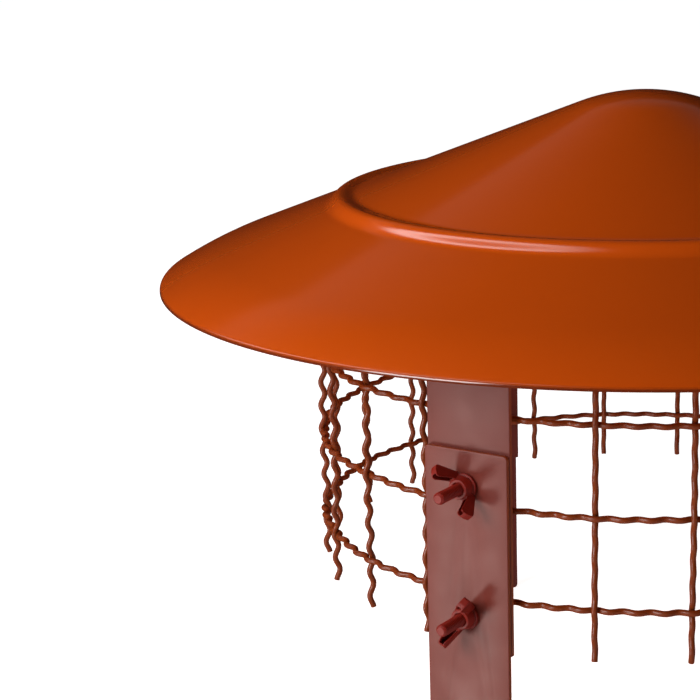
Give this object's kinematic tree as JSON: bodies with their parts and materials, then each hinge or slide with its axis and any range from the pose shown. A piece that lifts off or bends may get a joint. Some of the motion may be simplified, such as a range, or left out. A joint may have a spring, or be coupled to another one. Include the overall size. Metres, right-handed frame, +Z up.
{
  "type": "chimney cowl",
  "caption": "Round spun hood with a pressed rib over a woven wire guard, held on flat legs with wing nuts that clamp round the outside of a chimney pot.",
  "frame": {"origin": "middle of the plane that the three legs stand on, on the hood's axis", "axes": "+Z up along the hood's axis, the first leg on -Y and the others 120 degrees round from it each way"},
  "size_m": [0.34, 0.34, 0.2228],
  "materials": {
    "hood_coat": "gloss terracotta powder coat",
    "wire_coat": "semi-gloss terracotta powder coat on wire",
    "leg_coat": "satin dusty red-brown coat",
    "fastener_coat": "semi-gloss dark red-brown coat"
  },
  "bodies": {
    "root": {"hood": "hood_coat", "upright_wire_01": "wire_coat", "upright_wire_02": "wire_coat", "upright_wire_03": "wire_coat", "upright_wire_04": "wire_coat", "upright_wire_05": "wire_coat", "upright_wire_06": "wire_coat", "upright_wire_07": "wire_coat", "upright_wire_08": "wire_coat", "upright_wire_09": "wire_coat", "upright_wire_10": "wire_coat", "upright_wire_11": "wire_coat", "upright_wire_12": "wire_coat", "upright_wire_13": "wire_coat", "upright_wire_14": "wire_coat", "upright_wire_15": "wire_coat", "upright_wire_16": "wire_coat", "upright_wire_17": "wire_coat", "upright_wire_18": "wire_coat", "upright_wire_19": "wire_coat", "upright_wire_20": "wire_coat", "upright_wire_21": "wire_coat", "upright_wire_22": "wire_coat", "upright_wire_23": "wire_coat", "upright_wire_24": "wire_coat", "ring_wire_1": "wire_coat", "ring_wire_2": "wire_coat", "ring_wire_3": "wire_coat", "ring_wire_4": "wire_coat", "hanger_1": "leg_coat", "hanger_2": "leg_coat", "hanger_3": "leg_coat", "clamp_leg_1": "leg_coat", "clamp_leg_2": "leg_coat", "clamp_leg_3": "leg_coat", "bolt_1_upper": "fastener_coat", "wing_nut_1_upper": "fastener_coat", "bolt_1_lower": "fastener_coat", "wing_nut_1_lower": "fastener_coat", "bolt_2_upper": "fastener_coat", "wing_nut_2_upper": "fastener_coat", "bolt_2_lower": "fastener_coat", "wing_nut_2_lower": "fastener_coat", "bolt_3_upper": "fastener_coat", "wing_nut_3_upper": "fastener_coat", "bolt_3_lower": "fastener_coat", "wing_nut_3_lower": "fastener_coat"}
  },
  "joints": []
}
